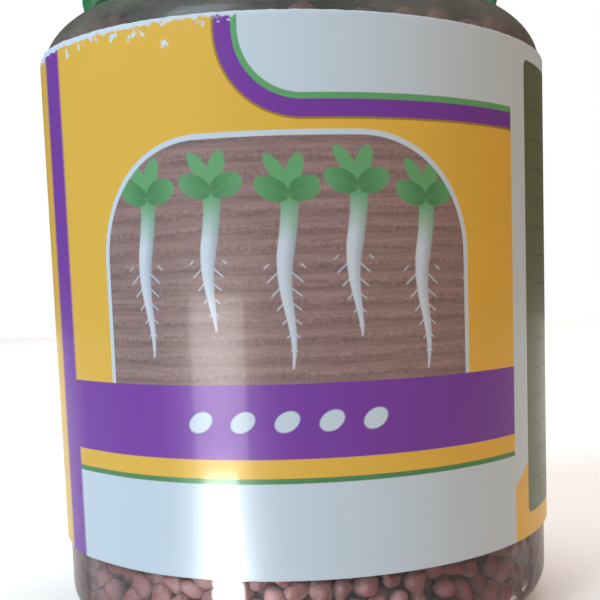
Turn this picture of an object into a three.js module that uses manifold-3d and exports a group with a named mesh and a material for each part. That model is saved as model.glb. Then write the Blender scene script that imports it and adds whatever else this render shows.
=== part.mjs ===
// Clear plastic seed jar: a round blow-moulded jar with a threaded neck, a printed wrap-around
// label, a filling of coated seeds, a sealing wad and a screw lid.
// Units are millimetres, +Z is up, the origin is the middle of the foot and -Y is the front.

import * as THREE from 'three';
import { ConvexHull } from 'three/addons/math/ConvexHull.js';
import { mergeVertices } from 'three/addons/utils/BufferGeometryUtils.js';
import Module from 'manifold-3d';

const wasm = await Module();
wasm.setup();

// Jar body
const JAR_RADIUS = 39.5;
const JAR_WALL = 0.8;
const FOOT_OUTER_RADIUS = 30.4;
const FOOT_INNER_RADIUS = 24;
const PUSH_UP = 2.4;
// Points of the dished base, as shares of the foot's inner radius and of the push-up
const DISH_SHARES = [[0, 1], [0.5, 0.8], [0.85, 0.3]];
const BASE_THICKNESS = 1.0;
const CORNER_HEIGHT = 6;
const CORNER_STEPS = 5;
const SHOULDER_START = 85.5;
const SHOULDER_HEIGHT = 8.1;
const SHOULDER_STEPS = 6;
const JAR_COLUMNS = 48;

// Jar neck
const NECK_RADIUS = 29.1;
const NECK_BORE = 27.5;
const LIP_HEIGHT = 108;
const LIP_CHAMFER = 0.5;

// Screw thread, shared by the neck and the lid: one start, right-handed
const THREAD_PITCH = 5;
const THREAD_TURNS = 1.25;
const THREAD_COLUMNS = 45;
const THREAD_FADE_COLUMNS = 2;
const THREAD_DEPTH = 1.3;
const THREAD_ROOT_HALF = 0.8;
const THREAD_TIP_HALF = 0.4;
const THREAD_SUNK = 0.3;
const THREAD_START_HEIGHT = 98.5;
const THREAD_START_ANGLE = 0.6;
const THREAD_FLANK_DROP = 1.9;

// Label
const LABEL_GAP = 0.2;
const LABEL_RADIUS = 40;
const LABEL_BOTTOM = 13.9;
const LABEL_TOP = 86.2;
const LABEL_TOP_SLANT = 0.45;
const LABEL_LAP_RISE = 0.3;
const LABEL_LAP_COLUMNS = 2;
const LABEL_LAP_ANGLE = THREE.MathUtils.degToRad(-52.5);

// Lid
const LID_BOTTOM = 94.3;
const LID_TOP = 111.5;
const LID_RADIUS = 33.2;
const LID_RIM_RADIUS = 31.9;
const LID_RIM_HEIGHT = 2.4;
const LID_RIM_BULGE = 0.25;
const LID_BORE = 31;
const LID_CEILING = 110;
const LID_BORE_OVERRUN = 1;
const LID_EDGE_WIDTH = 1.2;
const LID_EDGE_HEIGHT = 2.4;
const LID_PANEL_RADIUS = 29;
const LID_PANEL_DEPTH = 0.5;
const LID_RIBS = 60;
const LID_RIB_DEPTH = 0.45;

// Sealing wad, between the lip and the lid's ceiling
const WAD_RADIUS = 30.4;
const WAD_GAP = 0.3;

// Seed filling, with the seeds larger than life
const FILL_CLEARANCE = 0.4;
const FILL_TOP = 90;
const FILL_CHAMFER = 3;
const FILL_CORNER_STEPS = 4;
const SEED_PITCH = 6.6;
const SEED_RING_STEP = 5.7;
const SEED_GAP_DEPTH = 2.2;
const SEED_FLANK = 0.62;
const SEED_FLANK_DROP = 0.3;
const SEED_SHIFT = 0.3;
const SEED_DRAW = 461;

const FULL_TURN = 2 * Math.PI;
const WELD_DISTANCE = 1e-4;
const RANDOM_FACTOR = 16807;
const RANDOM_RANGE = 2147483647;

function point(radius, height) {
  return new THREE.Vector2(radius, height);
}

// Quarter of an ellipse about (radius, height), from one angle to another, both ends included.
function arc(radius, height, across, up, from, to, steps) {
  const points = [];
  for (let i = 0; i <= steps; i++) {
    const angle = from + ((to - from) * i) / steps;
    points.push(point(radius + across * Math.cos(angle), height + up * Math.sin(angle)));
  }
  return points;
}

// A profile turned about +Z, with the first column at the front and the angle growing towards +X.
// reshape(spot, column) may move each vertex: spot holds its radius, angle and height.
function turned(profile, columns, reshape = null, sweep = FULL_TURN, start = 0) {
  const geometry = new THREE.LatheGeometry(profile, columns, start, sweep);
  geometry.rotateX(Math.PI / 2);
  if (!reshape) return geometry;
  const position = geometry.attributes.position;
  const rows = profile.length;
  for (let i = 0; i < position.count; i++) {
    const column = Math.floor(i / rows);
    const angle = start + (sweep * column) / columns;
    const spot = { radius: profile[i % rows].x, angle, height: profile[i % rows].y };
    reshape(spot, column);
    const x = spot.radius * Math.sin(spot.angle);
    const y = -spot.radius * Math.cos(spot.angle);
    position.setXYZ(i, x, y, spot.height);
  }
  return geometry;
}

// Geometry with shared vertices merged, collapsed triangles dropped and its faces pointing out.
function closed(geometry) {
  const bare = geometry.clone();
  bare.deleteAttribute('normal');
  bare.deleteAttribute('uv');
  const merged = mergeVertices(bare, WELD_DISTANCE);
  const position = merged.attributes.position;
  const index = merged.index.array;
  const corner = [0, 1, 2].map(() => new THREE.Vector3());
  const kept = [];
  let volume = 0;
  for (let i = 0; i < index.length; i += 3) {
    const [a, b, c] = index.slice(i, i + 3);
    if (a === b || b === c || c === a) continue;
    corner[0].fromBufferAttribute(position, a);
    corner[1].fromBufferAttribute(position, b);
    corner[2].fromBufferAttribute(position, c);
    volume += corner[0].dot(corner[1].cross(corner[2]));
    kept.push(a, b, c);
  }
  merged.setIndex(volume < 0 ? kept.reverse() : kept);
  return merged;
}

function solid(geometry) {
  const whole = closed(geometry);
  const vertProperties = new Float32Array(whole.attributes.position.array);
  const triVerts = new Uint32Array(whole.index.array);
  return new wasm.Manifold(new wasm.Mesh({ numProp: 3, vertProperties, triVerts }));
}

function geometryOf(body) {
  const mesh = body.getMesh();
  const geometry = new THREE.BufferGeometry();
  geometry.setAttribute('position', new THREE.Float32BufferAttribute(mesh.vertProperties, 3));
  geometry.setIndex(Array.from(mesh.triVerts));
  geometry.computeVertexNormals();
  return geometry;
}

// Helical ridge on a wall: a tapering four-sided section that shrinks to a point at both ends.
// side is +1 for a ridge that stands outwards and -1 for one that stands inwards.
function threadRidge(wallRadius, startHeight, side) {
  const sunk = point(-THREAD_SUNK, -THREAD_ROOT_HALF);
  const section = [
    sunk,
    point(THREAD_DEPTH, -THREAD_TIP_HALF),
    point(THREAD_DEPTH, THREAD_TIP_HALF),
    point(-THREAD_SUNK, THREAD_ROOT_HALF),
    sunk,
  ];
  const sweep = THREAD_TURNS * FULL_TURN;
  const ridge = (spot, column) => {
    const fromEnd = Math.min(column, THREAD_COLUMNS - column);
    const fullness = Math.min(1, fromEnd / THREAD_FADE_COLUMNS);
    const out = -THREAD_SUNK + (spot.radius + THREAD_SUNK) * fullness;
    spot.radius = wallRadius + side * out;
    // The angle grows anticlockwise seen from above, and so does the height.
    spot.height = startHeight + spot.height * fullness + (THREAD_PITCH * spot.angle) / FULL_TURN;
    spot.angle += THREAD_START_ANGLE;
  };
  return turned(section, THREAD_COLUMNS, ridge, sweep);
}

// The dished middle of the base over a height, from the axis outwards.
function dish(height) {
  return DISH_SHARES.map(([across, up]) => point(FOOT_INNER_RADIUS * across, height + PUSH_UP * up));
}

function jarGeometry() {
  const innerRadius = JAR_RADIUS - JAR_WALL;
  const shoulderAcross = JAR_RADIUS - NECK_RADIUS;
  const cornerAcross = JAR_RADIUS - FOOT_OUTER_RADIUS;
  const innerCorner = CORNER_HEIGHT + BASE_THICKNESS - JAR_WALL / 2;
  const right = Math.PI / 2;
  const outside = [
    ...dish(0),
    point(FOOT_INNER_RADIUS, 0),
    ...arc(FOOT_OUTER_RADIUS, CORNER_HEIGHT, cornerAcross, CORNER_HEIGHT, -right, 0, CORNER_STEPS),
    ...arc(NECK_RADIUS, SHOULDER_START, shoulderAcross, SHOULDER_HEIGHT, 0, right, SHOULDER_STEPS),
    point(NECK_RADIUS, LIP_HEIGHT - LIP_CHAMFER),
    point(NECK_RADIUS - LIP_CHAMFER, LIP_HEIGHT),
  ];
  const inside = [
    point(NECK_BORE, LIP_HEIGHT),
    ...arc(NECK_BORE, SHOULDER_START, innerRadius - NECK_BORE,
      SHOULDER_HEIGHT - JAR_WALL, right, 0, SHOULDER_STEPS),
    ...arc(FOOT_OUTER_RADIUS, innerCorner, innerRadius - FOOT_OUTER_RADIUS,
      innerCorner - BASE_THICKNESS, 0, -right, CORNER_STEPS),
    point(FOOT_INNER_RADIUS, BASE_THICKNESS),
    ...dish(BASE_THICKNESS).reverse(),
  ];
  const body = solid(turned([...outside, ...inside], JAR_COLUMNS));
  const ridge = solid(threadRidge(NECK_RADIUS, THREAD_START_HEIGHT, 1));
  return geometryOf(body.add(ridge));
}

// Ring with a slanted top edge, thicker for a few columns where its end laps over its start.
function labelGeometry() {
  const innerRadius = JAR_RADIUS + LABEL_GAP;
  const first = point(innerRadius, LABEL_BOTTOM);
  const profile = [
    first,
    point(LABEL_RADIUS, LABEL_BOTTOM),
    point(LABEL_RADIUS, LABEL_TOP),
    point(innerRadius, LABEL_TOP),
    first,
  ];
  const lapColumn = Math.round(((LABEL_LAP_ANGLE + FULL_TURN) / FULL_TURN) * JAR_COLUMNS);
  const wrap = (spot, column) => {
    if (spot.height > LABEL_BOTTOM) spot.height -= LABEL_TOP_SLANT * Math.sin(spot.angle);
    const past = lapColumn - column;
    const lapped = past >= 0 && past < LABEL_LAP_COLUMNS;
    if (lapped && spot.radius > innerRadius) spot.radius += LABEL_LAP_RISE;
  };
  return closed(turned(profile, JAR_COLUMNS, wrap));
}

// The inside of the jar below the fill line, shrunk by a distance, from the base to the top.
function fillOutline(inset) {
  const right = Math.PI / 2;
  const radius = JAR_RADIUS - JAR_WALL - inset;
  const floor = BASE_THICKNESS + inset;
  const corner = CORNER_HEIGHT + BASE_THICKNESS + inset;
  const top = FILL_TOP - inset;
  return [
    ...dish(floor),
    point(FOOT_INNER_RADIUS, floor),
    ...arc(FOOT_OUTER_RADIUS, corner, radius - FOOT_OUTER_RADIUS,
      corner - floor, -right, 0, FILL_CORNER_STEPS),
    point(radius, SHOULDER_START - inset),
    point(radius - FILL_CHAMFER, top),
    point(0, top),
  ];
}

// Repeatable random numbers from 0 to 1.
function seededRandom(seed) {
  let state = seed;
  return () => {
    state = (state * RANDOM_FACTOR) % RANDOM_RANGE;
    return state / RANDOM_RANGE;
  };
}

// Rings a fixed step apart along a profile, as places on it. The stretch that the label hides
// has none.
function ringPlaces(profile) {
  const places = [];
  let next = 0;
  for (let i = 1; i < profile.length; i++) {
    const from = profile[i - 1];
    const to = profile[i];
    const length = from.distanceTo(to);
    for (; next < length; next += SEED_RING_STEP) {
      const spot = from.clone().lerp(to, next / length);
      const hidden = spot.y > LABEL_BOTTOM + SEED_PITCH && spot.y < LABEL_TOP - SEED_PITCH;
      if (!hidden) places.push({ leg: i, share: next / length, spot });
    }
    next -= length;
  }
  return places;
}

// Seeds in their rings, set a little off at random: each has a crown on the filling's outline, a
// root on the same outline sunk by the depth of the gaps, and a direction that tells neighbours.
function placedSeeds() {
  const crowns = fillOutline(FILL_CLEARANCE);
  const roots = fillOutline(FILL_CLEARANCE + SEED_GAP_DEPTH);
  const random = seededRandom(SEED_DRAW);
  const rings = ringPlaces(crowns);
  return rings.flatMap(({ leg, share, spot }, ring) => {
    const sunk = roots[leg - 1].clone().lerp(roots[leg], share);
    const count = Math.max(1, Math.round((FULL_TURN * spot.x) / SEED_PITCH));
    return Array.from({ length: count }, (_, k) => {
      const angle = (FULL_TURN * (k + ring / 2 + SEED_SHIFT * (random() - 0.5))) / count;
      const climb = (Math.PI * (ring + SEED_SHIFT * (random() - 0.5) + 0.5)) / rings.length;
      const across = new THREE.Vector3(Math.sin(angle), -Math.cos(angle), 0);
      const crown = across.clone().multiplyScalar(spot.x).setZ(spot.y);
      const root = across.clone().multiplyScalar(sunk.x).setZ(sunk.y);
      const direction = across.clone().multiplyScalar(Math.sin(climb)).setZ(-Math.cos(climb));
      return { crown, root, direction };
    });
  });
}

// Filling covered in seeds. The hull of the seeds' directions gives the triangles of neighbours;
// a triangle's middle is the gap between three seeds, and each seed is a dome over the cell that
// the gaps round it make, with one ring of points between its crown and the gaps.
function seedsGeometry() {
  const seeds = placedSeeds();
  const order = new Map(seeds.map((seed, i) => [seed.direction, i]));
  const hull = new ConvexHull().setFromPoints(seeds.map((seed) => seed.direction));
  const positions = seeds.map((seed) => seed.crown);
  const keep = (spot) => positions.push(spot) - 1;
  const sides = new Map();
  for (const face of hull.faces) {
    const corners = [0, 1, 2].map((k) => order.get(face.getEdge(k).head().point));
    const middle = (layer) => {
      const total = new THREE.Vector3();
      corners.forEach((corner) => total.addScaledVector(seeds[corner][layer], 1 / 3));
      return total;
    };
    const gap = middle('root');
    const between = middle('crown');
    const gapIndex = keep(gap);
    const flank = {};
    for (const corner of corners) {
      const high = seeds[corner].crown.clone().lerp(between, SEED_FLANK);
      const low = seeds[corner].root.clone().lerp(gap, SEED_FLANK);
      flank[corner] = keep(high.lerp(low, SEED_FLANK_DROP));
    }
    corners.forEach((from, k) => {
      const to = corners[(k + 1) % 3];
      sides.set(`${from},${to}`, { gap: gapIndex, flank });
    });
  }
  const index = [];
  for (const [key, left] of sides) {
    const [from, to] = key.split(',').map(Number);
    const right = sides.get(`${to},${from}`);
    index.push(from, right.flank[from], left.flank[from]);
    index.push(right.flank[from], right.gap, left.gap);
    index.push(right.flank[from], left.gap, left.flank[from]);
  }
  const geometry = new THREE.BufferGeometry().setFromPoints(positions);
  geometry.setIndex(index);
  geometry.computeVertexNormals();
  return geometry;
}

function lidGeometry() {
  const wall = [
    point(0, LID_BOTTOM),
    point(LID_RIM_RADIUS, LID_BOTTOM),
    point((LID_RIM_RADIUS + LID_RADIUS) / 2 + LID_RIM_BULGE, LID_BOTTOM + LID_RIM_HEIGHT / 2),
    point(LID_RADIUS, LID_BOTTOM + LID_RIM_HEIGHT),
    point(LID_RADIUS, LID_TOP - LID_EDGE_HEIGHT),
    point(LID_RADIUS - LID_EDGE_WIDTH, LID_TOP),
    point(LID_PANEL_RADIUS, LID_TOP),
    point(LID_PANEL_RADIUS - LID_PANEL_DEPTH, LID_TOP - LID_PANEL_DEPTH),
    point(0, LID_TOP - LID_PANEL_DEPTH),
  ];
  const ribs = (spot, column) => {
    if (spot.radius === LID_RADIUS && column % 2) spot.radius -= LID_RIB_DEPTH;
  };
  const bore = [
    point(0, LID_BOTTOM - LID_BORE_OVERRUN),
    point(LID_BORE, LID_BOTTOM - LID_BORE_OVERRUN),
    point(LID_BORE, LID_CEILING),
    point(0, LID_CEILING),
  ];
  const ridge = threadRidge(LID_BORE, THREAD_START_HEIGHT - THREAD_FLANK_DROP, -1);
  const shell = solid(turned(wall, 2 * LID_RIBS, ribs)).subtract(solid(turned(bore, JAR_COLUMNS)));
  return geometryOf(shell.add(solid(ridge)));
}

function wadGeometry() {
  const profile = [
    point(0, LIP_HEIGHT + WAD_GAP),
    point(WAD_RADIUS, LIP_HEIGHT + WAD_GAP),
    point(WAD_RADIUS, LID_CEILING - WAD_GAP),
    point(0, LID_CEILING - WAD_GAP),
  ];
  return closed(turned(profile, JAR_COLUMNS));
}

function part(name, geometry, colour, roughness, opacity = 1) {
  const material = new THREE.MeshStandardMaterial({
    color: colour,
    roughness,
    metalness: 0,
    transparent: opacity < 1,
    opacity,
  });
  const mesh = new THREE.Mesh(geometry, material);
  mesh.name = name;
  return mesh;
}

const group = new THREE.Group();
group.add(part('jar', jarGeometry(), 0xdfe6e6, 0.08, 0.35));
group.add(part('label', labelGeometry(), 0xdca53f, 0.3));
group.add(part('seeds', seedsGeometry(), 0x7a4a48, 0.6));
group.add(part('wad', wadGeometry(), 0xf2f0e8, 0.8));
group.add(part('lid', lidGeometry(), 0x2f8a5b, 0.35));

export default group;
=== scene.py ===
"""Looks of a clear plastic seed jar: jar, printed label, seeds, sealing wad and screw lid.

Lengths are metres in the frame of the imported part: +Z up, the foot's middle at the origin, -Y the
front of the label. An angle is counted from the front towards +X.
"""

import math
from functools import partialmethod

import bpy
import numpy as np
from mathutils import Matrix, Vector


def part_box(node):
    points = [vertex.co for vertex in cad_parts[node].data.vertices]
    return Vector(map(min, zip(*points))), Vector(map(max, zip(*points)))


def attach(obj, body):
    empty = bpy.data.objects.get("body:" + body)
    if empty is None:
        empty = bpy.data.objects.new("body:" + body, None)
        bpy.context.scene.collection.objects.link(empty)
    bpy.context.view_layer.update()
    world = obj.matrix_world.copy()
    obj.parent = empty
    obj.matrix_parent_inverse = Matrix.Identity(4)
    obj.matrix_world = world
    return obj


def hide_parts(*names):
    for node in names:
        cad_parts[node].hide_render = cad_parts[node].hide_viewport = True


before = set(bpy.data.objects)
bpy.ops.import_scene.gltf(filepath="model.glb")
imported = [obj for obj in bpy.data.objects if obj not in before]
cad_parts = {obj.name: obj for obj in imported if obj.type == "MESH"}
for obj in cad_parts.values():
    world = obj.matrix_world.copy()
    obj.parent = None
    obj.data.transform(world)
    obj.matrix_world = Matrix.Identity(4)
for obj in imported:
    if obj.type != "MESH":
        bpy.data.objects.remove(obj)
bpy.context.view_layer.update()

bl_info = {
    "name": "Seed jar",
    "version": (1, 0, 0),
    "blender": (4, 5, 0),
    "location": "3D View > Sidebar > Seed jar",
    "description": "Builds a clear jar of seeds with a printed label and a screw lid",
    "category": "Add Mesh",
}

MM = 0.001
FULL_TURN = 2 * math.pi
JAR_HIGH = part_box("jar")[1]
LABEL_LOW, LABEL_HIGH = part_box("label")
LID_LOW, LID_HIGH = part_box("lid")
WAD_LOW, WAD_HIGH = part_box("wad")
CLOSE = 1e-6
DISH_ROWS = 20
CORNER_STEPS = 14
CORNER_END = DISH_ROWS + CORNER_STEPS + 1
SHOULDER_STEPS = 22
ROUND_STEPS = 4
FILL_TOP_STEPS = 20
SEED_PACKING = 0.9
NIBBLE_WAVES = ((61, 0.0), (97, 1.3), (173, 0.4))


def length(name, description, default):
    """A length in metres, shown in the scene's units."""
    return bpy.props.FloatProperty(
        name=name, description=description, default=default, unit="LENGTH", precision=5
    )


def angle(name, description, degrees):
    """An angle, given here in degrees."""
    return bpy.props.FloatProperty(
        name=name, description=description, default=math.radians(degrees), subtype="ANGLE"
    )


def colour(name, description, default):
    """A colour in linear light."""
    return bpy.props.FloatVectorProperty(
        name=name, description=description, default=default, subtype="COLOR", min=0, max=1
    )


def count(name, description, default):
    return bpy.props.IntProperty(name=name, description=description, default=default, min=1)


def amount(name, description, default):
    return bpy.props.FloatProperty(name=name, description=description, default=default)


class JarSizes(bpy.types.PropertyGroup):
    """Shape of the jar and its thread."""

    body_radius: length("Body radius", "Outside of the straight wall", JAR_HIGH.x)
    wall: length("Wall", "Thickness of the blown wall", 0.5 * MM)
    foot_radius: length("Foot radius", "Outer edge of the flat foot ring", 30.4 * MM)
    dish_radius: length("Dish radius", "Edge of the dished base inside the foot ring", 24 * MM)
    dish_rise: length("Dish rise", "Height of the dished base at its middle", 2.4 * MM)
    base_thickness: length("Base thickness", "Thickness of the base", 1.0 * MM)
    corner_height: length("Corner height", "Height of the rounded lower corner", 6 * MM)
    shoulder_start: length("Shoulder start", "Height where the wall turns in", 85.5 * MM)
    shoulder_height: length("Shoulder height", "Rise of the shoulder to the neck", 8.1 * MM)
    neck_radius: length("Neck radius", "Outside of the neck between threads", 29.1 * MM)
    neck_bore: length("Neck bore", "Radius inside the neck", 27.5 * MM)
    lip_height: length("Lip height", "Top of the lip", JAR_HIGH.z)
    lip_round: length("Lip round", "Rounding of the lip's edges", 0.5 * MM)
    thread_pitch: length("Thread pitch", "Rise of the thread in one turn", 5 * MM)
    thread_turns: amount("Thread turns", "Turns of the thread", 1.25)
    thread_depth: length("Thread depth", "How far the thread stands out", 1.3 * MM)
    thread_root: length("Thread root", "Half the thread's width at its root", 0.8 * MM)
    thread_tip: length("Thread tip", "Half the thread's width at its tip", 0.4 * MM)
    thread_start: length("Thread start", "Height of the neck thread's lower end", 98.5 * MM)
    thread_angle: angle("Thread angle", "Where the threads start", math.degrees(0.6))
    flank_drop: length("Flank drop", "How far the lid's thread runs below the neck's", 1.9 * MM)
    plastic: colour("Plastic", "Tint of the clear plastic", (0.93, 0.95, 0.95))
    dust: colour("Dust", "Colour of the dust film on the shoulder", (0.12, 0.11, 0.102))
    # Painted shade: darkens what is seen through the shoulder.
    painted_shoulder_shade: colour("Painted shoulder shade", "Painted shade that darkens what is seen through the shoulder", (0.47, 0.47, 0.43))
    # Partly seed powder, partly painted shade on the lower rims where the wall is seen at a slant.
    powder_and_rim_shade: colour("Powder and rim shade", "Seed powder on the low wall, and painted shade on its rims seen at a slant", (0.1, 0.05, 0.048))


class LabelSizes(bpy.types.PropertyGroup):
    """Shape and inks of the wrap-around label."""

    radius: length("Radius", "Outside of the label", LABEL_HIGH.y)
    thickness: length("Thickness", "Thickness of the film", 0.25 * MM)
    bottom: length("Bottom", "Height of the lower edge", LABEL_LOW.z)
    top: length("Top", "Mean height of the upper edge", 86.2 * MM)
    slant: length("Slant", "How far the upper edge drops from its middle to the right", 0.45 * MM)
    nibble: length("Nibble", "Unevenness of the worn upper edge", 0.05 * MM)
    lap_edge: angle("Lap edge", "Where the end that lies on top stops", -63)
    lap: angle("Lap", "How far one end lies over the other", 9)
    lap_rise: length("Lap rise", "How far the top end stands off", 0.3 * MM)
    amber: colour("Amber", "Ground of the print", (0.83, 0.52, 0.08))
    purple: colour("Purple", "Stripe, border and band", (0.20, 0.055, 0.39))
    white: colour("White", "Bare film and white fields", (0.60, 0.73, 0.83))
    fresh_green: colour("Fresh green", "Leaves and rules", (0.085, 0.26, 0.11))
    pale_green: colour("Pale green", "Side panel", (0.125, 0.155, 0.08))
    soil: colour("Soil", "Ground of the picture", (0.30, 0.205, 0.195))
    root: colour("Root", "Roots and stems in the picture", (0.64, 0.73, 0.83))


class LidSizes(bpy.types.PropertyGroup):
    """Shape of the screw lid and its wad."""

    bottom: length("Bottom", "Height of the rim", LID_LOW.z)
    top: length("Top", "Height of the raised edge", LID_HIGH.z)
    radius: length("Radius", "Outside of the ribs", 33.2 * MM)
    rim_radius: length("Rim radius", "Outside of the rim's lower edge", 31.9 * MM)
    rim_height: length("Rim height", "Height of the curved rim below the ribs", 2.4 * MM)
    bore: length("Bore", "Radius inside the lid", 31 * MM)
    ceiling: length("Ceiling", "Height of the lid's inner face", 110 * MM)
    edge: length("Edge", "Rounding of the upper edge", 1.8 * MM)
    panel_radius: length("Panel radius", "Edge of the sunk top panel", 29 * MM)
    panel_depth: length("Panel depth", "How far the top panel is sunk", 0.5 * MM)
    ribs: count("Ribs", "Grip ribs round the lid", 60)
    rib_depth: length("Rib depth", "Depth between two ribs", 0.45 * MM)
    wad_radius: length("Wad radius", "Radius of the sealing wad", WAD_HIGH.x)
    green: colour("Green", "Lid plastic", (0.005, 0.28, 0.085))
    foam: colour("Foam", "Wad foam", (0.86, 0.85, 0.81))


class SeedSizes(bpy.types.PropertyGroup):
    """Size, number and colours of the seeds."""

    diameter: length("Diameter", "Mean diameter of a seed", 3.5 * MM)
    spacing: length("Spacing", "Mean distance between neighbours", 3.35 * MM)
    clearance: length("Clearance", "Gap to the jar's wall", 0.05 * MM)
    fill: length("Fill height", "Level of the seeds at the sides", 91.3 * MM)
    slump: length("Slump", "How much lower the seeds lie at the front and back", 5 * MM)
    draw: count("Draw", "Start of the random draws", 461)
    coat: colour("Coat", "Common colour of the seed coating", (0.235, 0.085, 0.085))
    dark_coat: colour("Dark coat", "Darkest seeds", (0.105, 0.037, 0.037))
    pale_coat: colour("Pale coat", "Palest seeds", (0.31, 0.145, 0.142))


class StageSizes(bpy.types.PropertyGroup):
    """Camera and light."""

    distance: length("Distance", "From the jar's axis to the camera", 160.6 * MM)
    height: length("Height", "Camera above the surface", 52.76 * MM)
    pitch: angle("Pitch", "Camera tilt downwards", 5.555)
    yaw: angle("Yaw", "Camera turn to the right", 2.712)
    roll: angle("Roll", "Camera lean", -1.747)
    focal_pixels: amount("Focal length", "In pixels of the picture", 947.9)
    centre_x: amount("Centre X", "Pixel column that the lens looks at", 349.8)
    centre_y: amount("Centre Y", "Pixel row that the lens looks at", 372.5)
    picture: amount("Picture", "Width and height of the picture in pixels", 600)
    floor_reach: length("Floor reach", "From the middle of the floor to its edge", 0.9)


def sizes(group):
    return getattr(bpy.context.scene, group)


# Surfaces

def arc(radius, height, across, up, start, end, steps):
    """Part of an ellipse about (radius, height), as rows of radius and height."""
    turn = np.linspace(start, end, steps + 1)
    return np.stack([radius + across * np.cos(turn), height + up * np.sin(turn)], axis=1)


def straight(start, end, steps):
    """Points on a straight line, without its end."""
    share = np.linspace(0, 1, steps, endpoint=False)[:, None]
    return np.asarray(start) * (1 - share) + np.asarray(end) * share


def turned(profile, columns, shift=None):
    """Grid of a profile carried round +Z: x = r sin a, y = -r cos a, z = height.

    shift(a, r, z) is added to the radius.
    """
    turn = np.linspace(0, FULL_TURN, columns, endpoint=False)[None, :]
    radius = np.repeat(profile[:, :1], columns, axis=1)
    height = np.repeat(profile[:, 1:], columns, axis=1)
    if shift is not None:
        radius = radius + shift(turn, radius, height)
    return np.stack([radius * np.sin(turn), -radius * np.cos(turn), height], axis=2)


def mesh_from(name, vertices, faces):
    """Mesh of an array of vertices and a list of face arrays, each with one number of corners."""
    mesh = bpy.data.meshes.new(name)
    mesh.vertices.add(len(vertices))
    mesh.vertices.foreach_set("co", np.ascontiguousarray(vertices, np.float32).ravel())
    corners = np.concatenate([block.ravel() for block in faces]).astype(np.int32)
    lengths = np.concatenate([np.full(len(block), block.shape[1]) for block in faces])
    mesh.loops.add(len(corners))
    mesh.loops.foreach_set("vertex_index", corners)
    mesh.polygons.add(len(lengths))
    starts = np.concatenate([[0], np.cumsum(lengths)[:-1]]).astype(np.int32)
    mesh.polygons.foreach_set("loop_start", starts)
    mesh.update(calc_edges=True)
    mesh.validate()
    mesh.shade_smooth()
    return mesh


def grid_faces(rows, columns, closed):
    """Quads of a grid, running along its columns first; closed joins the last column to the first."""
    spans = columns if closed else columns - 1
    row, column = np.meshgrid(np.arange(rows - 1), np.arange(spans), indexing="ij")
    after = (column + 1) % columns
    quads = [row * columns + column, row * columns + after]
    quads += [(row + 1) * columns + after, (row + 1) * columns + column]
    return np.stack(quads, axis=-1).reshape(-1, 4)


def capped(grid):
    """Vertices and faces of a closed grid whose first and last rows are single points."""
    rows, columns = grid.shape[:2]
    inner = grid[1:-1].reshape(-1, 3)
    vertices = np.concatenate([inner, grid[0, :1], grid[-1, :1]])
    first, last = len(inner), len(inner) + 1
    column = np.arange(columns)
    after = (column + 1) % columns
    foot = (rows - 3) * columns
    start = np.stack([np.full(columns, first), after, column], axis=1)
    end = np.stack([foot + column, foot + after, np.full(columns, last)], axis=1)
    return vertices, [grid_faces(rows - 2, columns, True), start, end]


def piece(name, mesh, material, body, nodes):
    """Puts a mesh in the scene as a piece that rides on a body and stands for CAD nodes."""
    thing = bpy.data.objects.new(name, mesh)
    bpy.context.scene.collection.objects.link(thing)
    mesh.materials.append(material)
    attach(thing, body)
    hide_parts(*nodes)
    return thing


def thread(s, start_height):
    """Height of a screw thread over a wall: a ridge that follows height = start + pitch a / 2 pi.

    Its section is a trapezium, and it fades out at both ends.
    """

    def ridge(turn, height):
        stands = np.zeros(np.broadcast(turn, height).shape)
        sweep = s.thread_turns * FULL_TURN
        fade = 0.25
        for lap in range(math.ceil(s.thread_turns)):
            travelled = (turn - s.thread_angle) % FULL_TURN + lap * FULL_TURN
            off = np.abs(height - start_height - s.thread_pitch * travelled / FULL_TURN)
            section = np.clip((s.thread_root - off) / (s.thread_root - s.thread_tip), 0, 1)
            ends = np.clip(np.minimum(travelled, sweep - travelled) / fade, 0, 1)
            stands = np.maximum(stands, section * ends)
        return stands * s.thread_depth

    return ridge


def jar_profile(s, inset=0.0):
    """Outline of the jar's outside from the middle of the base to the neck, shrunk by inset."""
    quarter = math.pi / 2
    radius = s.body_radius - inset
    across = np.linspace(0, 1, DISH_ROWS)
    dish = np.stack([s.dish_radius * across, inset + s.dish_rise * (1 - across**3)], axis=1)
    corner = s.corner_height + inset / 2
    wall_rows = 10
    return np.concatenate([
        dish,
        arc(s.foot_radius, corner, radius - s.foot_radius, corner - inset, -quarter, 0, CORNER_STEPS),
        straight((radius, corner), (radius, s.shoulder_start), wall_rows)[1:],
        arc(s.neck_radius, s.shoulder_start, radius - s.neck_radius,
            s.shoulder_height - inset, 0, quarter, SHOULDER_STEPS),
    ])


def jar_mesh(s):
    """Closed wall of revolution: outside up to the lip, then the inside back to the base."""
    quarter = math.pi / 2
    neck_foot = s.shoulder_start + s.shoulder_height
    rounding = s.lip_round
    columns, neck_rows, lip_steps = 168, 76, 5
    neck_top = s.lip_height - rounding
    neck = straight((s.neck_radius, neck_foot), (s.neck_radius, neck_top), neck_rows)[1:]
    lip_outer = arc(s.neck_radius - rounding, neck_top, rounding, rounding, 0, quarter, lip_steps)
    lip_inner = arc(s.neck_bore + rounding, neck_top, rounding, rounding,
                    quarter, 2 * quarter, lip_steps)
    inner_radius = s.body_radius - s.wall
    shoulder = arc(s.neck_bore, s.shoulder_start, inner_radius - s.neck_bore,
                   s.shoulder_height - s.wall, quarter, 0, SHOULDER_STEPS)
    floor = jar_profile(s, s.base_thickness)[:CORNER_END]
    floor[:, 0] *= np.minimum(1, inner_radius / floor[:, 0].max())
    profile = np.concatenate([jar_profile(s), neck, lip_outer, lip_inner, shoulder, floor[::-1]])
    ridge = thread(s, s.thread_start)

    def shift(turn, radius, height):
        on_neck = (np.abs(radius - s.neck_radius) < CLOSE) & (height > neck_foot)
        return np.where(on_neck, ridge(turn, height), 0)

    return mesh_from("clear_jar", *capped(turned(profile, columns, shift)))


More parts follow.
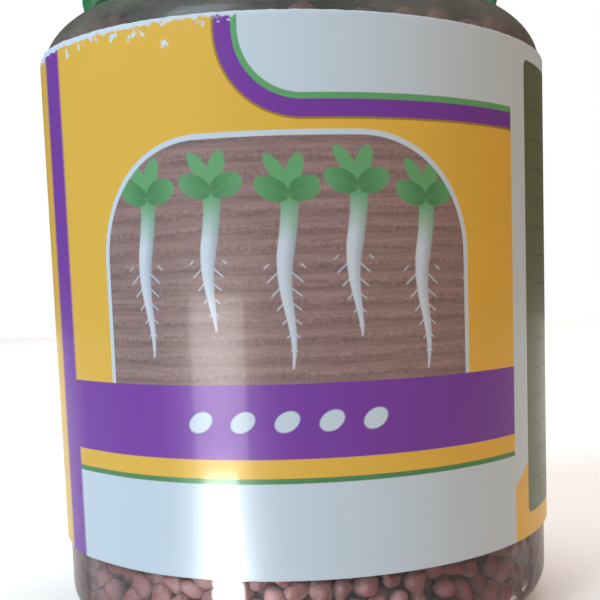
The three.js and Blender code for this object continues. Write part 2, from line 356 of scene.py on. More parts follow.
def lid_mesh(s, jar):
    """Closed wall of revolution with cosine ribs outside and a thread ridge inside."""
    quarter = math.pi / 2
    rim_top = s.bottom + s.rim_height
    rib_top = s.top - s.edge
    half_step = s.panel_depth / 2
    soft, ring_width = 0.4 * MM, 1.2 * MM
    ring_outer = s.panel_radius + ring_width
    rib_columns, rib_shape = 10, 1.5
    groove_low, groove_rise = 0.6 * MM, 1.6 * MM
    groove_high, groove_fall = 0.5 * MM, 1.3 * MM
    inside = np.concatenate([
        straight((0, s.ceiling), (s.bore - soft, s.ceiling), 6),
        arc(s.bore - soft, s.ceiling - soft, soft, soft, quarter, 0, ROUND_STEPS),
        straight((s.bore, s.ceiling - soft), (s.bore, s.bottom + soft), 70)[1:],
    ])
    rim = np.concatenate([
        arc(s.bore + soft, s.bottom + soft, soft, soft, 2 * quarter, 3 * quarter, ROUND_STEPS),
        arc(s.rim_radius - soft, s.bottom + soft, soft, soft, -quarter, -0.5, ROUND_STEPS),
    ])
    lift = np.linspace(0.12, 1, 10)
    bulge = s.rim_radius + (s.radius - s.rim_radius) * np.sin(quarter * lift)
    skirt = np.stack([bulge, s.bottom + s.rim_height * lift], axis=1)
    crown = np.concatenate([
        straight((s.radius, rim_top), (s.radius, rib_top), 14)[1:],
        arc(s.radius - s.edge, rib_top, s.edge, s.edge, 0, quarter, 9),
        arc(ring_outer, s.top - half_step, half_step, half_step, quarter, 2 * quarter, ROUND_STEPS),
        arc(s.panel_radius, s.top - half_step, half_step, half_step, 0, -quarter, ROUND_STEPS),
        straight((s.panel_radius - soft, s.top - s.panel_depth), (0, s.top - s.panel_depth), 10),
        [[0, s.top - s.panel_depth]],
    ])
    profile = np.concatenate([inside, rim, skirt, crown])
    ridge = thread(jar, jar.thread_start - jar.flank_drop)

    def shift(turn, radius, height):
        on_bore = np.abs(radius - s.bore) < CLOSE
        inner = np.where(on_bore, -ridge(turn, height), 0)
        rise = np.clip((height - s.bottom - groove_low) / groove_rise, 0, 1)
        fall = np.clip((s.top - groove_high - height) / groove_fall, 0, 1)
        outside = radius > s.rim_radius - soft
        groove = (0.5 - 0.5 * np.cos(s.ribs * turn)) ** rib_shape
        return inner - np.where(outside, s.rib_depth * rise * fall * groove, 0)

    return mesh_from("screw_lid", *capped(turned(profile, s.ribs * rib_columns, shift)))


def wad_mesh(s):
    """Flat disc with rounded edges."""
    quarter = math.pi / 2
    soft = 0.4 * MM
    columns, face_steps = 96, 12
    flat = s.wad_radius - soft
    profile = np.concatenate([
        straight((0, WAD_LOW.z), (flat, WAD_LOW.z), face_steps),
        arc(flat, WAD_LOW.z + soft, soft, soft, -quarter, 0, ROUND_STEPS),
        arc(flat, WAD_HIGH.z - soft, soft, soft, 0, quarter, ROUND_STEPS),
        straight((flat, WAD_HIGH.z), (0, WAD_HIGH.z), face_steps)[1:],
        [[0, WAD_HIGH.z]],
    ])
    return mesh_from("sealing_wad", *capped(turned(profile, columns)))


def label_mesh(s):
    """Strip wrapped once round and a little more: x = r sin a, y = -r cos a over angle and height.

    The radius is larger by the lap's rise where the strip's start lies on its end, and eases down
    after it. The upper edge slants as a sine and is nibbled by a sum of sines.
    """
    columns, rows = 540, 36
    rim, next_to_rim = 0.001, 0.01
    turn = np.linspace(s.lap_edge, s.lap_edge + FULL_TURN + s.lap, columns)[None, :]
    past = (turn - s.lap_edge - s.lap) / s.lap
    lifted = s.lap_rise * (0.5 + 0.5 * np.cos(math.pi * np.clip(past, 0, 1)))
    share = np.linspace(next_to_rim, 1 - next_to_rim, rows - 4)
    share = np.concatenate([[0, rim], share, [1 - rim, 1]])[:, None]
    waves = sum(np.sin(times * turn + start) for times, start in NIBBLE_WAVES) / len(NIBBLE_WAVES)
    top = s.top - s.slant * np.sin(turn) + s.nibble * waves
    height = s.bottom + (top - s.bottom) * share
    radius = s.radius + lifted + 0 * share
    grid = np.stack([radius * np.sin(turn), -radius * np.cos(turn), height], axis=2)
    mesh = mesh_from("printed_label", grid.reshape(-1, 3), [grid_faces(rows, columns, False)])
    place = np.stack([s.radius * turn + 0 * share, height, s.top - height], axis=2) / MM
    layer = mesh.attributes.new("print_place", "FLOAT_VECTOR", "POINT")
    layer.data.foreach_set("vector", place.astype(np.float32).ravel())
    return mesh


# Seeds

def spread(random, number, width, low, high, step, wrap):
    """Random points in a strip, pushed apart in turns until few lie nearer than a step."""
    rounds, push_share = 70, 0.3
    spots = np.stack([random.uniform(0, width, number), random.uniform(low, high, number)], axis=1)
    for _ in range(rounds):
        gap = spots[:, None] - spots[None]
        if wrap:
            gap[..., 0] -= width * np.round(gap[..., 0] / width)
        far = np.sqrt((gap**2).sum(axis=2)) + 1e-9
        push = np.clip(step - far, 0, None) / far
        np.fill_diagonal(push, 0)
        spots += push_share * (gap * push[..., None]).sum(axis=1)
        spots[:, 1] = np.clip(spots[:, 1], low, high)
        spots[:, 0] = spots[:, 0] % width if wrap else np.clip(spots[:, 0], 0, width)
    return spots


def disc_spots(random, reach, step):
    """Points spread over a disc, as radius and angle."""
    number = int(4 * reach**2 / (SEED_PACKING * step**2))
    spots = spread(random, number, 2 * reach, -reach, reach, step, False)
    spots[:, 0] -= reach
    spots = spots[np.hypot(spots[:, 0], spots[:, 1]) < reach]
    return np.hypot(spots[:, 0], spots[:, 1]), np.arctan2(spots[:, 0], spots[:, 1])


def fill_outline(s, jar, depth):
    """Line that the seeds' outer sides touch, a depth inside the jar's inner face.

    It runs from the middle of the base to the level of the fill and in to the axis.
    """
    gap = jar.wall + s.clearance + depth
    low = jar_profile(jar, gap)[:CORNER_END]
    low[:DISH_ROWS, 1] += jar.base_thickness - jar.wall
    radius = jar.body_radius - gap
    shoulder = arc(jar.neck_bore, jar.shoulder_start, radius - jar.neck_bore,
                   jar.shoulder_height - gap, 0, math.pi / 2, SHOULDER_STEPS + 2)
    level = s.fill - depth
    shoulder = shoulder[shoulder[:, 1] < level]
    top = straight((shoulder[-1, 0], level), (0, level), FILL_TOP_STEPS)
    return np.concatenate([low, shoulder, top, [[0, level]]])


def travel(line):
    """Distance along a line at each of its points."""
    return np.concatenate([[0], np.cumsum(np.hypot(*np.diff(line, axis=0).T))])


def contacts(line, reached, turn):
    """Points on a turned line at distances along it, and the directions that point out of it."""
    slope = np.gradient(line, axis=0)
    slope /= np.linalg.norm(slope, axis=1, keepdims=True)
    marks = travel(line)
    radius, height, rise, fall = (
        np.interp(reached, marks, values)
        for values in (line[:, 0], line[:, 1], slope[:, 1], -slope[:, 0])
    )
    across = np.stack([np.sin(turn), -np.cos(turn)], axis=1)
    points = np.concatenate([across * radius[:, None], height[:, None]], axis=1)
    outward = np.concatenate([across * rise[:, None], fall[:, None]], axis=1)
    return np.stack([points, outward / np.linalg.norm(outward, axis=1, keepdims=True)])


def wall_contacts(random, line, low, high, step):
    """Contacts spread all round a stretch of a line."""
    girth = FULL_TURN * line[:, 0].max()
    number = int((high - low) * girth / (SEED_PACKING * step**2))
    spots = spread(random, number, girth, low, high, step, True)
    return contacts(line, spots[:, 1], spots[:, 0] / girth * FULL_TURN)


def seed_contacts(s, jar, random):
    """Where the lower seeds, on the base and the low wall, and the upper seeds touch the jar."""
    second_layer, behind_label, under_shoulder = 0.8 * s.diameter, 2 * s.diameter, 8 * MM
    rim_gap, unevenness = 0.6 * s.diameter, 0.4 * s.diameter
    lower = []
    for depth in (0, second_layer):
        line = fill_outline(s, jar, depth)
        marks = travel(line)
        corner = slice(DISH_ROWS, CORNER_END + 1)
        under_label = np.interp(LABEL_LOW.z + behind_label, line[corner, 1], marks[corner])
        lower.append(wall_contacts(random, line, marks[DISH_ROWS + 2], under_label, s.spacing))
    line = fill_outline(s, jar, 0)
    marks = travel(line)
    radius, turn = disc_spots(random, line[DISH_ROWS, 0], s.spacing)
    base = np.interp(radius, line[:DISH_ROWS + 1, 0], marks[:DISH_ROWS + 1])
    lower.append(contacts(line, base, turn))
    brim = np.argmax(line[:, 1] >= s.fill)
    start = marks[CORNER_END + 2] - under_shoulder
    wall = wall_contacts(random, line, start, marks[brim], s.spacing)
    level = s.fill - s.slump * (wall[0, :, 1] / np.hypot(*wall[0, :, :2].T)) ** 2
    radius, turn = disc_spots(random, line[brim, 0] - rim_gap, s.spacing)
    top = contacts(line, marks[-1] - radius, turn)
    top[0, :, 2] -= s.slump * (top[0, :, 1] / line[brim, 0]) ** 2
    top[0, :, 2] -= unevenness * random.uniform(0, 1, len(radius))
    upper = np.concatenate([wall[:, wall[0, :, 2] < level], top], axis=1)
    return np.concatenate(lower, axis=1), upper


def random_turns(random, number):
    """Rotation matrices from random unit quaternions."""
    quaternion = random.normal(size=(number, 4))
    w, x, y, z = (quaternion / np.linalg.norm(quaternion, axis=1, keepdims=True)).T
    rows = [
        [1 - 2 * (y * y + z * z), 2 * (x * y - z * w), 2 * (x * z + y * w)],
        [2 * (x * y + z * w), 1 - 2 * (x * x + z * z), 2 * (y * z - x * w)],
        [2 * (x * z - y * w), 2 * (y * z + x * w), 1 - 2 * (x * x + y * y)],
    ]
    return np.moveaxis(np.array(rows), 2, 0)


def seeds_mesh(name, s, touching, random):
    """One seed shape repeated: an ellipsoid over latitude and longitude, stretched and turned.

    Each seed's radius is varied by two waves round it, which leaves blunt corners. Each is moved
    along its outward direction until its outermost point touches its contact.
    """
    points, outward = touching
    columns, rows = 10, 6
    slim, stout, knob = (0.92, 0.78, 0.7), (1.28, 1.08, 1.0), 0.1
    latitude = np.linspace(-math.pi / 2, math.pi / 2, rows + 1)[:, None]
    longitude = np.linspace(0, FULL_TURN, columns, endpoint=False)[None, :]
    ball = np.stack([
        np.cos(latitude) * np.cos(longitude),
        np.cos(latitude) * np.sin(longitude),
        np.sin(latitude) + 0 * longitude,
    ], axis=2)
    unit, faces = capped(ball)
    number = len(points)
    stretch = s.diameter / 2 * random.uniform(slim, stout, (number, 3))
    phase = random.uniform(0, FULL_TURN, (number, 2, 1))
    swing = np.arctan2(unit[:, 1], unit[:, 0])[None]
    level = np.arcsin(np.clip(unit[:, 2], -1, 1))[None]
    bump = 1 + knob * np.cos(level) * np.cos(3 * swing + phase[:, 0])
    bump = bump + knob * np.sin(2 * level + phase[:, 1])
    shaped = unit[None] * stretch[:, None] * bump[..., None]
    placed = np.einsum("nij,nvj->nvi", random_turns(random, number), shaped)
    reach = np.einsum("nvi,ni->nv", placed, outward).max(axis=1)
    placed = placed + (points - outward * reach[:, None])[:, None]
    offsets = (np.arange(number) * len(unit))[:, None, None]
    repeated = [(block[None] + offsets).reshape(-1, block.shape[1]) for block in faces]
    mesh = mesh_from(name, placed.reshape(-1, 3), repeated)
    tint = np.repeat(random.uniform(0, 1, number), len(unit)).astype(np.float32)
    mesh.attributes.new("seed_tint", "FLOAT", "POINT").data.foreach_set("value", tint)
    return mesh


def bed_mesh(s, jar):
    """Packed seeds behind the outer layers, as one turned surface with low waves. Its coat is darkened
    as painted shade.
    """
    columns, layers, cover = 160, 1.9, 1.2
    wave_depth, middle = 0.3 * MM, 20 * MM
    inset = jar.wall + layers * s.diameter
    level = s.fill - s.slump - cover * s.diameter
    outline = jar_profile(jar, inset)
    outline = outline[outline[:, 1] < level]
    top = straight((outline[-1, 0], level), (0, level), FILL_TOP_STEPS)
    outline = np.concatenate([outline, top, [[0, level]]])

    def shift(turn, radius, height):
        wave = np.sin(40 * turn + 900 * height) * np.sin(2600 * height + 9 * turn)
        return wave_depth * wave * np.clip(radius / middle, 0, 1)

    return mesh_from("seed_bed", *capped(turned(outline, columns, shift)))


# Materials

def toned(tone, factor):
    """A colour made darker or lighter."""
    return tuple(min(1, factor * c) for c in tone)


class Field:
    """A number that varies over a surface. Arithmetic on it adds Math nodes."""

    def __init__(self, graph, socket):
        self.graph = graph
        self.socket = socket

    def math(self, operation, *others, clamp=False):
        node = self.graph.node("ShaderNodeMath", operation=operation, use_clamp=clamp)
        for place, value in zip(node.inputs, (self, *others)):
            self.graph.feed(place, value)
        return Field(self.graph, node.outputs[0])

    __add__ = partialmethod(math, "ADD")
    __sub__ = partialmethod(math, "SUBTRACT")
    __mul__ = partialmethod(math, "MULTIPLY")
    __truediv__ = partialmethod(math, "DIVIDE")
    __abs__ = partialmethod(math, "ABSOLUTE")
    low = partialmethod(math, "MINIMUM")
    high = partialmethod(math, "MAXIMUM")
    wrap = partialmethod(math, "FLOORED_MODULO")

    def clamped(self):
        return self.math("ADD", 0.0, clamp=True)

    def inside(self, soft=0.12):
        """1 where the field is below 0 and 0 where it is above, blurred over a soft width."""
        return self.math("MULTIPLY_ADD", -1 / soft, 0.5, clamp=True)


class Graph:
    """Nodes of one material, or of the world."""

    def __init__(self, owner, output="ShaderNodeOutputMaterial"):
        self.owner = owner
        owner.use_nodes = True
        self.tree = owner.node_tree
        self.tree.nodes.clear()
        self.output = self.node(output)

    def node(self, kind, **settings):
        node = self.tree.nodes.new(kind)
        for key, value in settings.items():
            setattr(node, key, value)
        return node

    def feed(self, place, value):
        if isinstance(value, Field):
            self.tree.links.new(value.socket, place)
        elif isinstance(value, bpy.types.NodeSocket):
            self.tree.links.new(value, place)
        elif hasattr(value, "__len__") and len(value) == 3 and place.type == "RGBA":
            place.default_value = (*value, 1)
        else:
            place.default_value = value

    def spot(self):
        """Object coordinates in metres, or the direction in the world."""
        return self.node("ShaderNodeTexCoord").outputs["Object"]

    def filled(self, kind, **inputs):
        """A node with values or links on its inputs, whose names have _ for a space here."""
        node = self.node(kind)
        for key, value in inputs.items():
            self.feed(node.inputs[key.replace("_", " ")], value)
        return node

    def parts(self, vector):
        split = self.filled("ShaderNodeSeparateXYZ", Vector=vector)
        return [Field(self, socket) for socket in split.outputs]

    def joined(self, x, y):
        return self.filled("ShaderNodeCombineXYZ", X=x, Y=y).outputs[0]

    def scaled(self, vector, scale):
        return self.filled("ShaderNodeMapping", Vector=vector, Scale=scale).outputs[0]

    def noise(self, vector, scale, detail=2.0, roughness=0.5):
        node = self.filled("ShaderNodeTexNoise", Vector=vector, Scale=scale, Detail=detail,
                           Roughness=roughness)
        return Field(self, node.outputs[0])

    def paint(self, under, over, cover):
        """The colour over on top of the colour under, where cover is 1."""
        mix = self.node("ShaderNodeMix", data_type="RGBA")
        for place, value in ((0, cover), (6, under), (7, over)):
            self.feed(mix.inputs[place], value)
        return mix.outputs[2]

    def ramp(self, value, low, high):
        """The value stretched so that low becomes 0 and high becomes 1."""
        node = self.filled("ShaderNodeMapRange", Value=value, From_Min=low, From_Max=high)
        return Field(self, node.outputs[0])

    def bump(self, height, strength, distance):
        node = self.filled("ShaderNodeBump", Height=height, Strength=strength, Distance=distance)
        return node.outputs[0]

    def principled(self, **inputs):
        shader = self.filled("ShaderNodeBsdfPrincipled", **inputs)
        self.feed(self.output.inputs[0], shader.outputs[0])
        return shader


def clear_plastic(s):
    """Clear plastic with a dust film and a darker tint of painted shade on the shoulder, and seed
    powder on the low wall.

    The powder covers more where the wall is seen at a slant, so it also paints shade on the jar's
    lower rims. Lamps shine through the plastic.
    """
    graph = Graph(bpy.data.materials.new("clear_plastic"))
    spot = graph.spot()
    height = graph.parts(spot)[2]
    neck_foot = s.shoulder_start + s.shoulder_height
    dust_share, haze_share, powder_and_rim_shade_tint = 0.45, 0.03, 3.0
    cloud = graph.noise(spot, 75, 6, 0.7)
    grain = graph.noise(spot, 2600, 3, 0.7)
    shoulder = graph.ramp(height, s.shoulder_start - 3 * MM, s.shoulder_start + 3 * MM)
    neck = graph.ramp(height, neck_foot + 2 * MM, neck_foot - 1 * MM)
    dusty = graph.ramp(cloud * 0.55 + grain * 0.45, 0.36, 0.68) * (shoulder * neck * dust_share + 0.01)
    slanted = Field(graph, graph.node("ShaderNodeLayerWeight").outputs["Facing"])
    low_wall = graph.ramp(height, LABEL_LOW.z + 1 * MM, LABEL_LOW.z - 1 * MM)
    # Film that thickens where the wall is seen at a slant: partly seed powder, partly painted shade
    # darkening the lower rims.
    powder_and_rim_shade_cover = graph.ramp(slanted, 0.55, 0.88) * low_wall * (cloud * 0.5 + 0.6)
    haze = low_wall * haze_share
    film = dusty.high(powder_and_rim_shade_cover).high(haze).clamped()
    # Painted shade: the shoulder band is tinted darker, so what is seen through it looks shaded.
    tint = graph.paint(s.plastic, s.painted_shoulder_shade, shoulder * neck)
    tint = graph.paint(tint, s.dust, dusty)
    ripple = graph.noise(spot, 55, 2)
    shader = graph.principled(
        Base_Color=graph.paint(tint, s.powder_and_rim_shade, (powder_and_rim_shade_cover * powder_and_rim_shade_tint).clamped()),
        Roughness=film * 0.2 + shoulder * neck * 0.06 + 0.035,
        IOR=1.16,
        Transmission_Weight=film * -0.9 + 1.0,
        Normal=graph.bump(ripple + grain * 0.02, 0.25, 0.4 * MM),
    )
    through = graph.filled("ShaderNodeBsdfTransparent", Color=s.plastic)
    mix = graph.node("ShaderNodeMixShader")
    path = graph.node("ShaderNodeLightPath")
    graph.feed(mix.inputs[0], path.outputs["Is Shadow Ray"])
    graph.feed(mix.inputs[1], shader.outputs[0])
    graph.feed(mix.inputs[2], through.outputs[0])
    graph.feed(graph.output.inputs[0], mix.outputs[0])
    return graph.owner


def box_field(u, v, left, right, bottom, top):
    """Distance to a rectangle, below 0 inside it."""
    across = abs(u - (left + right) / 2) - (right - left) / 2
    up = abs(v - (bottom + top) / 2) - (top - bottom) / 2
    return across.high(up)


def round_box_field(u, v, left, right, bottom, top, corner):
    """Distance to a rectangle with rounded corners, below 0 inside it."""
    across = abs(u - (left + right) / 2) - ((right - left) / 2 - corner)
    up = abs(v - (bottom + top) / 2) - ((top - bottom) / 2 - corner)
    out_u, out_v = across.high(0.0), up.high(0.0)
    outside = (out_u * out_u + out_v * out_v).math("SQRT")
    return outside + across.high(up).low(0.0) - corner


def ellipse_field(x, y, centre, reach, degrees):
    """Rough distance to a turned ellipse, below 0 inside it."""
    cosine, sine = math.cos(math.radians(degrees)), math.sin(math.radians(degrees))
    x, y = x - centre[0], y - centre[1]
    long = (x * cosine + y * sine) / reach[0]
    short = (y * cosine - x * sine) / reach[1]
    return ((long * long + short * short).math("SQRT") - 1.0) * reach[1]


def sprouts(graph, picture, u, v, s):
    """A row of sprouts over a picture: leaf pairs, stems and tapering roots with rootlets.

    The row is one drawing repeated across cells, with each cell's drawing shifted at random.
    """
    cell, first, draw = 9.4, -25.5, 7.0
    rise, sway, shift = 5.0, 0.45, 1.0
    deepest, thickest, root_top = 41.5, 56.5, 64.5
    fringe_top, fringe_reach, rootlet_gap = 55.0, 3.1, 2.1
    number = ((u - first) / cell).math("FLOOR")
    chance = graph.node("ShaderNodeTexWhiteNoise", noise_dimensions="1D")
    graph.feed(chance.inputs["W"], number + draw)
    lift, lean, reach = graph.parts(chance.outputs["Color"])
    y = v - (lift * rise - rise / 2)
    bend = ((y - 40.0) * 0.35).math("SINE") * sway
    x = (u - first).wrap(cell) - (lean * shift + (cell - shift) / 2) - bend
    side = abs(x)
    tip = reach * rise + deepest
    grown = graph.ramp(y, tip, thickest)
    root = (side - (grown * 1.0 + 0.12)).high((y - root_top).high(tip - y))
    rootlets = (y + side * 0.9).wrap(rootlet_gap) - 0.26
    fringe = rootlets.high(side - grown * fringe_reach).high((y - fringe_top).high(tip - y))
    shade = graph.paint(s.root, toned(s.root, 0.55), graph.ramp(x, -0.2, 1.1))
    light_green = tuple(min(1, 1.5 * c + 0.02) for c in s.fresh_green)
    shade = graph.paint(shade, light_green, graph.ramp(y, 57.5, 63.0))
    picture = graph.paint(picture, toned(s.root, 0.8), fringe.inside(0.25))
    picture = graph.paint(picture, shade, root.inside(0.2))
    for centre, reach_mm, degrees, ink in (
        ((1.1, 66.6), (2.4, 1.0), 62, light_green),
        ((2.1, 64.4), (2.3, 1.5), 24, s.fresh_green),
    ):
        leaf = ellipse_field(side, y, centre, reach_mm, degrees)
        vein = abs(ellipse_field(side, y, centre, (reach_mm[0], 0.14), degrees))
        ink_shade = graph.paint(ink, light_green, graph.ramp(side, 0.8, 4.6))
        leaf_ink = graph.paint(ink_shade, light_green, vein.inside(0.3) * 0.5)
        picture = graph.paint(picture, leaf_ink, leaf.inside(0.2))
    return picture


def soil_picture(graph, v, flat, s):
    """Crumbly brown ground with faint furrows across it."""
    crumbs = graph.noise(flat, 1.6, 5, 0.7)
    furrows = graph.noise(graph.scaled(flat, (0.12, 1.9, 1.0)), 1.0, 3, 0.6)
    rows = (v * 2.7 + crumbs * 5.0).math("SINE") * 0.06
    light = graph.ramp(crumbs * 0.5 + furrows * 0.5 + rows, 0.3, 0.7)
    return graph.paint(toned(s.soil, 0.6), toned(s.soil, 1.35), light)


def label_print(s):
    """Printed film: amber ground, arched picture, purple band, white fields and a side panel.

    The design repeats every half turn, so front and back are alike. Wear bares the white film along
    the upper edge and in small chips. Places are in mm along the film and above the surface.
    """
    graph = Graph(bpy.data.materials.new("printed_film"))
    place = graph.node("ShaderNodeAttribute", attribute_name="print_place").outputs["Vector"]
    along_print, v, below_top = graph.parts(place)
    repeat = math.pi * s.radius / MM
    left, right = -38.0, 34.0
    start, past_top = left - 6.0, 110.0
    tab_left, tab_bottom, tab_corner = -7.0, 76.2, 8.0
    arch_box, arch_corner, arch_foot = (-28.0, 23.0, 20.0, 71.0), 15.0, 39.6
    band_middle, band_half, foot_top, rule = 34.9, 4.9, 26.8, 0.7
    dot_middle, dot_step, dot_reach = -2.5, 5.8, 14.5
    strip_width, panel_left, panel_right, line_step = 37.5, 4.2, 36.0, 4.2
    u = (along_print - start).wrap(repeat) + start
    flat = graph.joined(u, v)
    sheet = graph.joined(along_print, v)
    white, amber, purple, green = s.white, s.amber, s.purple, s.fresh_green

    ink = graph.paint(amber, toned(s.amber, 0.93), graph.noise(flat, 0.05, 2))
    tab = round_box_field(u, v, tab_left, right + 20, tab_bottom, past_top, tab_corner)
    ink = graph.paint(ink, toned(s.amber, 0.45), (tab - 3.3).inside())
    ink = graph.paint(ink, purple, (tab - 3.0).inside())
    ink = graph.paint(ink, toned(s.fresh_green, 1.6), (tab - 0.8).inside())
    ink = graph.paint(ink, white, tab.inside())
    arch = round_box_field(u, v, *arch_box, arch_corner).high(v * -1.0 + arch_foot)
    picture = sprouts(graph, soil_picture(graph, v, flat, s), u, v, s)
    ink = graph.paint(ink, white, (arch - rule).inside())
    ink = graph.paint(ink, picture, arch.inside())
    band = abs(v - band_middle) - band_half
    ink = graph.paint(ink, purple, band.inside())
    dots_u = (u - dot_middle + dot_step / 2).wrap(dot_step) - dot_step / 2
    dots = ellipse_field(dots_u, v, (0.0, band_middle), (1.75, 1.25), 30)
    dots = dots.high(abs(u - dot_middle) - dot_reach)
    ink = graph.paint(ink, white, dots.inside(0.2))
    foot = v - foot_top
    ink = graph.paint(ink, green, (foot - rule).inside())
    ink = graph.paint(ink, white, foot.inside())
    stains = graph.noise(sheet, 0.42, 4, 0.6) * -1.0 + 0.7
    ink = graph.paint(ink, amber, stains.inside(0.06) * foot.inside() * 0.4)

    ink = graph.paint(ink, amber, (u * -1.0 + right).inside())
    slope = ((u - right) * 0.8).low(3.2) + 22.0
    strip = box_field(u, v, right - 0.2, right + strip_width, 0.0, past_top).high(slope - v)
    ink = graph.paint(ink, white, strip.inside())
    panel = round_box_field(u, v, right + panel_left, right + panel_right, 17.3, 83.5, 1.2)
    ink = graph.paint(ink, s.pale_green, panel.inside())
    rules = abs((v - 20.0).wrap(line_step) - line_step / 2) - 0.16
    rules = rules.high(box_field(u, v, right + 7.0, right + 33.0, 21.0, 80.0))
    ink = graph.paint(ink, toned(s.pale_green, 0.45), rules.inside(0.2) * 0.7)
    ink = graph.paint(ink, amber, (u - (left - 5.0)).inside())
    stripe = box_field(u, v, left - 5.4, left, 0.0, past_top)
    ink = graph.paint(ink, purple, stripe.inside(0.8))

    ragged = graph.noise(sheet, 0.7, 6, 0.7)
    border = below_top - graph.ramp(ragged, 0.38, 0.72) * 1.0
    chip_shape = graph.noise(sheet, 0.5, 4, 0.6)
    chip_room = graph.ramp(below_top + abs(u + 24.0) * 0.25, 16.0, 2.0)
    chips = chip_room * -0.2 + 0.82 - chip_shape
    specks = graph.noise(sheet, 3.2, 2) * -1.0 + 0.785
    bare = border.inside(0.3).high(chips.inside(0.02)).high(specks.inside(0.012) * 0.8)
    ink = graph.paint(ink, toned(s.white, 1.08), bare)

    scratch = graph.noise(graph.scaled(sheet, (0.9, 0.05, 1.0)), 2.2, 4, 0.7)
    smear = graph.noise(sheet, 0.12, 3)
    rough = smear * 0.12 + graph.ramp(scratch, 0.55, 0.75) * 0.08 + bare * 0.2 + 0.3
    wrinkle = graph.noise(graph.scaled(sheet, (0.5, 0.12, 1.0)), 0.35, 2)
    graph.principled(
        Base_Color=ink,
        Roughness=rough,
        Specular_IOR_Level=0.15,
        Coat_Weight=0.11,
        Coat_Roughness=0.07,
        Normal=graph.bump(wrinkle + bare * -0.3, 0.18, 0.25 * MM),
    )
    return graph.owner


def seed_coat(s, name, dim=1.0):
    """Dull coated seeds: each has its own tint, with fine mottling and a grainy skin. A dim below 1
    darkens every tone as painted shade.
    """
    graph = Graph(bpy.data.materials.new(name))
    spot = graph.spot()
    tint = Field(graph, graph.node("ShaderNodeAttribute", attribute_name="seed_tint").outputs["Fac"])
    mottle = graph.noise(spot, 900, 3, 0.6)
    grain = graph.noise(spot, 5200, 2, 0.6)
    # dim below 1 darkens every tone: painted shade
    tones = [toned(tone, dim) for tone in (s.dark_coat, s.coat, s.pale_coat)]
    ink = graph.paint(tones[0], tones[1], graph.ramp(tint + mottle * 0.5, 0.2, 0.75))
    ink = graph.paint(ink, tones[2], graph.ramp(tint * 0.7 + mottle * 0.8, 0.75, 1.2))
    ink = graph.paint(ink, tones[2], graph.ramp(grain, 0.56, 0.7) * 0.6)
    graph.principled(
        Base_Color=ink,
        Roughness=grain * 0.25 + 0.42,
        Specular_IOR_Level=0.28,
        Normal=graph.bump(grain * 0.5 + mottle, 0.7, 0.4 * MM),
    )
    return graph.owner


def lid_plastic(s):
    """Moulded green plastic with slight flow marks and handling wear."""
    graph = Graph(bpy.data.materials.new("lid_plastic"))
    spot = graph.spot()
    flow = graph.noise(spot, 70, 3)
    grain = graph.noise(spot, 1800, 3, 0.7)
    ink = graph.paint(toned(s.green, 0.75), toned(s.green, 1.2), flow)
    graph.principled(
        Base_Color=ink,
        Roughness=grain * 0.16 + 0.26,
        Specular_IOR_Level=0.35,
        Normal=graph.bump(grain, 0.12, 0.08 * MM),
    )
    return graph.owner


def wad_foam(s):
    """Closed-cell white foam."""
    graph = Graph(bpy.data.materials.new("wad_foam"))
    cells = graph.filled("ShaderNodeTexVoronoi", Vector=graph.spot(), Scale=1500)
    cell = Field(graph, cells.outputs["Distance"])
    graph.principled(
        Base_Color=graph.paint(toned(s.foam, 0.88), s.foam, cell),
        Roughness=cell * 0.15 + 0.6,
        Normal=graph.bump(cell, 0.3, 0.1 * MM),
    )
    return graph.owner


def floor_paint():
    """Plain pale floor."""
    graph = Graph(bpy.data.materials.new("pale_floor"))
    dull, bright = (0.86, 0.86, 0.86), (0.9, 0.9, 0.9)
    graph.principled(
        Base_Color=graph.paint(dull, bright, graph.noise(graph.spot(), 4)),
        Roughness=0.9,
        Specular_IOR_Level=0.1,
    )
    return graph.owner


# Operators

class SEEDJAR_OT_jar(bpy.types.Operator):
    """Build the clear jar with its threaded neck"""

    bl_idname = "seed_jar.jar"
    bl_label = "Jar"

    def execute(self, context):
        s = sizes("jar_sizes")
        piece("clear_jar", jar_mesh(s), clear_plastic(s), "jar", ["jar"])
        return {"FINISHED"}


class SEEDJAR_OT_label(bpy.types.Operator):
    """Wrap the printed label round the jar"""

    bl_idname = "seed_jar.label"
    bl_label = "Label"

    def execute(self, context):
        s = sizes("label_sizes")
        label = piece("printed_label", label_mesh(s), label_print(s), "jar", ["label"])
        film = label.modifiers.new("Film", "SOLIDIFY")
        film.thickness = s.thickness
        film.offset = -1
        return {"FINISHED"}


class SEEDJAR_OT_seeds(bpy.types.Operator):
    """Fill the jar with seeds"""

    bl_idname = "seed_jar.seeds"
    bl_label = "Seeds"

    def execute(self, context):
        s = sizes("seed_sizes")
        jar = sizes("jar_sizes")
        random = np.random.default_rng(s.draw)
        coat = seed_coat(s, "seed_coat")
        lower, upper = seed_contacts(s, jar, random)
        for name, touching in (("seeds_lower", lower), ("seeds_upper", upper)):
            piece(name, seeds_mesh(name, s, touching, random), coat, "jar", ["seeds"])
        # The packed bed's coat is darkened to 0.12 as painted shade for the dark gaps between the
        # outer seeds.
        bed = seed_coat(s, "seed_bed_painted_shade", 0.12)
        piece("seed_bed", bed_mesh(s, jar), bed, "jar", ["seeds"])
        return {"FINISHED"}


class SEEDJAR_OT_lid(bpy.types.Operator):
    """Build the screw lid and the sealing wad under it"""

    bl_idname = "seed_jar.lid"
    bl_label = "Lid and wad"

    def execute(self, context):
        s = sizes("lid_sizes")
        lid = lid_mesh(s, sizes("jar_sizes"))
        piece("screw_lid", lid, lid_plastic(s), "lid", ["lid"])
        piece("sealing_wad", wad_mesh(s), wad_foam(s), "wad", ["wad"])
        return {"FINISHED"}


